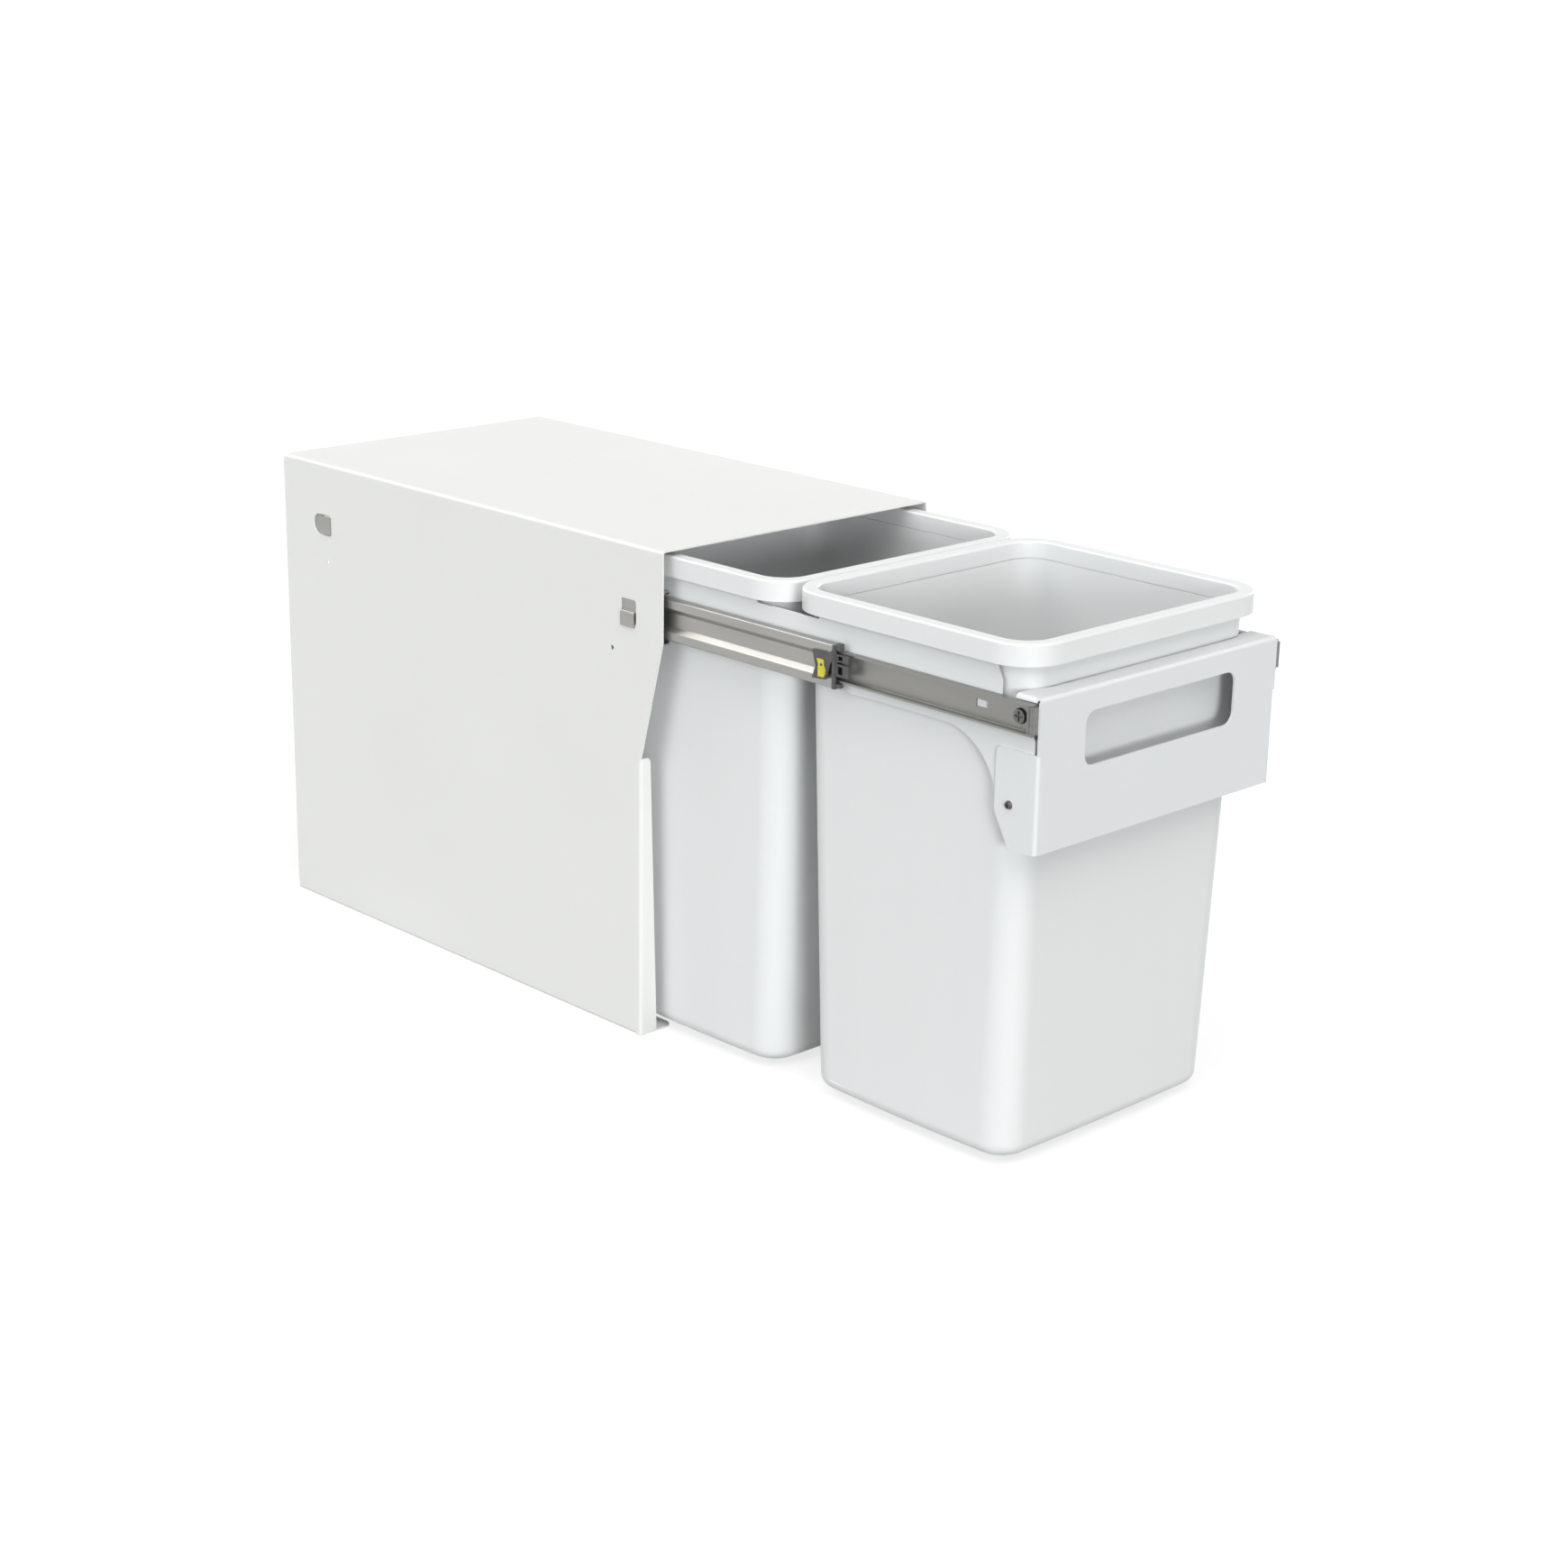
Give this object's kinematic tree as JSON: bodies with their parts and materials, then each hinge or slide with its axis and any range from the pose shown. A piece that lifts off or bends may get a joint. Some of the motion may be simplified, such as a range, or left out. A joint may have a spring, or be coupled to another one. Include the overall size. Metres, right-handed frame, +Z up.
{
  "type": "pull-out waste bin",
  "caption": "Under-counter pull-out waste bin: folded sheet housing, ball-bearing slides and a handled carriage with tapered lift-out buckets.",
  "frame": {"origin": "on the cabinet floor, at the middle of the four base fixing holes in the housing's bottom returns", "axes": "+X to the right, +Y into the cabinet (the carriage pulls out along -Y), +Z up"},
  "size_m": [0.2628, 0.7815, 0.361],
  "materials": {
    "housing_paint": "white powder coat, semi-matt",
    "panel_paint": "light grey powder coat, semi-matt",
    "bucket_plastic": "light grey polypropylene, fine sheen",
    "slide_steel": "zinc-plated cold-rolled steel",
    "ball_steel": "polished bearing steel",
    "dark_plastic": "dark grey moulded plastic",
    "cap_plastic": "mid-grey moulded plastic",
    "lever_plastic": "yellow moulded plastic",
    "screw_steel": "dark zinc-plated steel"
  },
  "bodies": {
    "housing": {"housing": "housing_paint", "left_slide_outer": "slide_steel", "left_rear_stop": "dark_plastic", "right_slide_outer": "slide_steel", "right_rear_stop": "dark_plastic"},
    "carriage": {"handle_panel": "panel_paint", "rear_crossbar": "panel_paint", "front_bin": "bucket_plastic", "rear_bin": "bucket_plastic", "slide_screws": "screw_steel", "handle_screws": "screw_steel", "crossbar_rivets": "screw_steel", "left_rail": "panel_paint", "left_slide_inner": "slide_steel", "left_slide_end_cap": "cap_plastic", "right_rail": "panel_paint", "right_slide_inner": "slide_steel", "right_slide_end_cap": "cap_plastic"},
    "left_middle": {"left_slide_middle": "slide_steel", "left_end_block": "dark_plastic"},
    "left_outer_cage": {"left_outer_ball_cage": "slide_steel", "left_outer_balls": "ball_steel"},
    "left_inner_cage": {"left_inner_ball_cage": "slide_steel", "left_inner_balls": "ball_steel"},
    "left_lever": {"left_release_lever": "lever_plastic"},
    "right_middle": {"right_slide_middle": "slide_steel", "right_end_block": "dark_plastic"},
    "right_outer_cage": {"right_outer_ball_cage": "slide_steel", "right_outer_balls": "ball_steel"},
    "right_inner_cage": {"right_inner_ball_cage": "slide_steel", "right_inner_balls": "ball_steel"},
    "right_lever": {"right_release_lever": "lever_plastic"}
  },
  "joints": [
    {"name": "pull_out", "type": "slide", "parent": "housing", "child": "carriage", "axis": [0, -1, 0], "range_m": [-0.33, 0.12]},
    {"name": "left_middle_run", "type": "slide", "parent": "housing", "child": "left_middle", "axis": [0, -1, 0], "range_m": [-0.1783, 0.0649]},
    {"name": "left_outer_cage_run", "type": "slide", "parent": "housing", "child": "left_outer_cage", "axis": [0, -1, 0], "range_m": [-0.0892, 0.0325]},
    {"name": "left_inner_cage_run", "type": "slide", "parent": "housing", "child": "left_inner_cage", "axis": [0, -1, 0], "range_m": [-0.2542, 0.0925]},
    {"name": "left_lever_turn", "type": "hinge", "parent": "left_middle", "child": "left_lever", "pos_m": [-0.1266, -0.3764, 0.3127], "axis": [1, 0, 0], "range_deg": [-8, 8]},
    {"name": "right_middle_run", "type": "slide", "parent": "housing", "child": "right_middle", "axis": [0, -1, 0], "range_m": [-0.1783, 0.0649]},
    {"name": "right_outer_cage_run", "type": "slide", "parent": "housing", "child": "right_outer_cage", "axis": [0, -1, 0], "range_m": [-0.0892, 0.0325]},
    {"name": "right_inner_cage_run", "type": "slide", "parent": "housing", "child": "right_inner_cage", "axis": [0, -1, 0], "range_m": [-0.2542, 0.0925]},
    {"name": "right_lever_turn", "type": "hinge", "parent": "right_middle", "child": "right_lever", "pos_m": [0.1266, -0.3764, 0.3127], "axis": [1, 0, 0], "range_deg": [-8, 8]}
  ],
  "couplings": [
    {"joint": "left_middle_run", "follows": "pull_out", "ratio": 0.54},
    {"joint": "left_outer_cage_run", "follows": "pull_out", "ratio": 0.27},
    {"joint": "left_inner_cage_run", "follows": "pull_out", "ratio": 0.77},
    {"joint": "right_middle_run", "follows": "pull_out", "ratio": 0.54},
    {"joint": "right_outer_cage_run", "follows": "pull_out", "ratio": 0.27},
    {"joint": "right_inner_cage_run", "follows": "pull_out", "ratio": 0.77}
  ]
}
